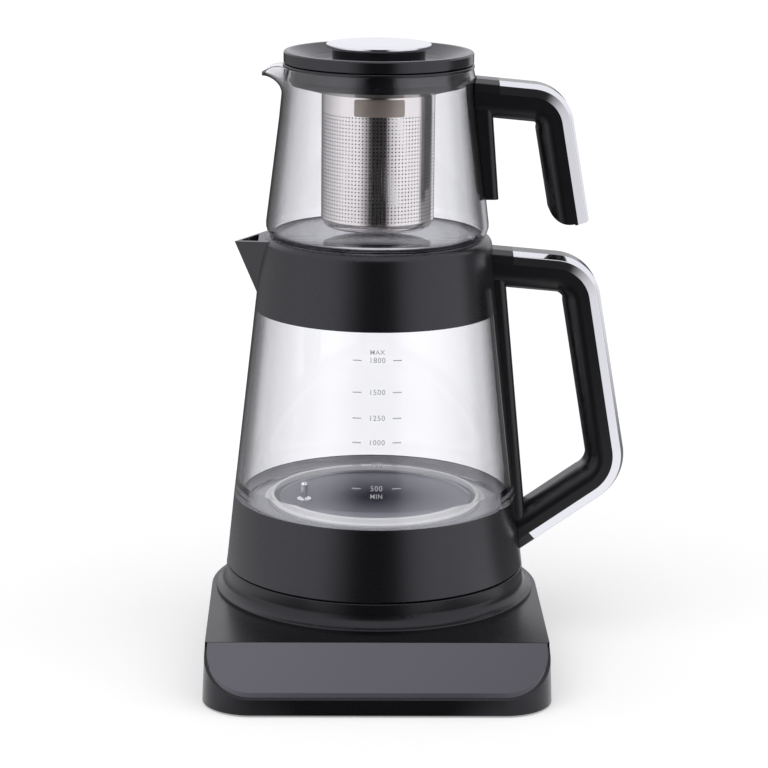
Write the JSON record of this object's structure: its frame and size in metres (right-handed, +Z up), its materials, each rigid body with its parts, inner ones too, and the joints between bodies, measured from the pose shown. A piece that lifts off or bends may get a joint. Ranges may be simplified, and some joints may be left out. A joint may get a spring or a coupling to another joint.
{
  "type": "automatic tea maker",
  "caption": "Electric tea maker: power base with a sloping touch panel, glass kettle with spout and handle, glass teapot on top, perforated infuser and a lid with a disc knob.",
  "frame": {"origin": "on the kettle's vertical axis, at the level the feet stand on", "axes": "+Z up, both handles towards +X, both spouts towards -X, touch panel towards -Y"},
  "size_m": [0.2452, 0.2418, 0.3571],
  "materials": {
    "black_plastic": "satin moulded",
    "panel_gloss": "glossy",
    "inlay_gloss": "glossy",
    "chrome": "polished",
    "glass": "clear",
    "steel": "brushed",
    "aluminium": "satin",
    "brass": "polished",
    "rubber": "matte",
    "silicone": "matte",
    "circuit_board": "satin",
    "component_plastic": "satin"
  },
  "bodies": {
    "power_base": {"base_top_housing": "black_plastic", "base_bottom_cover": "black_plastic", "touch_panel": "panel_gloss", "touch_board": "circuit_board", "touch_key_springs": "steel", "power_board": "circuit_board", "relay": "component_plastic", "transformer": "component_plastic", "capacitor": "aluminium", "buzzer": "component_plastic", "base_coupler": "black_plastic", "coupler_contacts": "brass", "base_feet": "rubber", "base_screws": "steel", "cord_gland": "rubber"},
    "coupler_socket": {"kettle_coupler": "black_plastic"},
    "kettle": {"thermal_control": "component_plastic", "kettle_base_shell": "black_plastic", "kettle_bottom_cover": "black_plastic", "kettle_bottom_screws": "steel", "kettle_glass": "glass", "heater_seal": "silicone", "heater_plate": "steel", "heater_clamp_ring": "steel", "heat_diffuser": "aluminium", "heating_element": "steel", "temperature_probe": "steel", "probe_nut": "steel", "kettle_collar": "black_plastic", "collar_seal": "silicone", "kettle_handle_frame": "black_plastic", "kettle_handle_trim": "chrome", "kettle_handle_inlay": "inlay_gloss", "kettle_handle_screws": "steel"},
    "teapot": {"teapot_glass": "glass", "teapot_handle_frame": "black_plastic", "teapot_handle_trim": "chrome", "teapot_handle_inlay": "inlay_gloss", "teapot_handle_bond": "silicone"},
    "infuser": {"infuser_basket": "steel", "infuser_holder": "black_plastic", "infuser_seal": "silicone"},
    "lid": {"lid_cover": "black_plastic", "lid_underside": "black_plastic", "lid_seal": "silicone", "lid_knob_stem": "black_plastic", "lid_knob_cap": "chrome", "lid_knob_screw": "steel"}
  },
  "joints": [
    {"name": "kettle_lift", "type": "slide", "parent": "power_base", "child": "coupler_socket", "axis": [0, 0, 1], "range_m": [0, 0.06]},
    {"name": "kettle_turn", "type": "hinge", "parent": "coupler_socket", "child": "kettle", "pos_m": [0, 0, 0.05], "axis": [0, 0, 1], "continuous": true},
    {"name": "teapot_lift", "type": "slide", "parent": "kettle", "child": "teapot", "axis": [0, 0, 1], "range_m": [0, 0.05]},
    {"name": "infuser_lift", "type": "slide", "parent": "teapot", "child": "infuser", "axis": [0, 0, 1], "range_m": [0, 0.095]},
    {"name": "lid_lift", "type": "slide", "parent": "infuser", "child": "lid", "axis": [0, 0, 1], "range_m": [0, 0.03]}
  ]
}
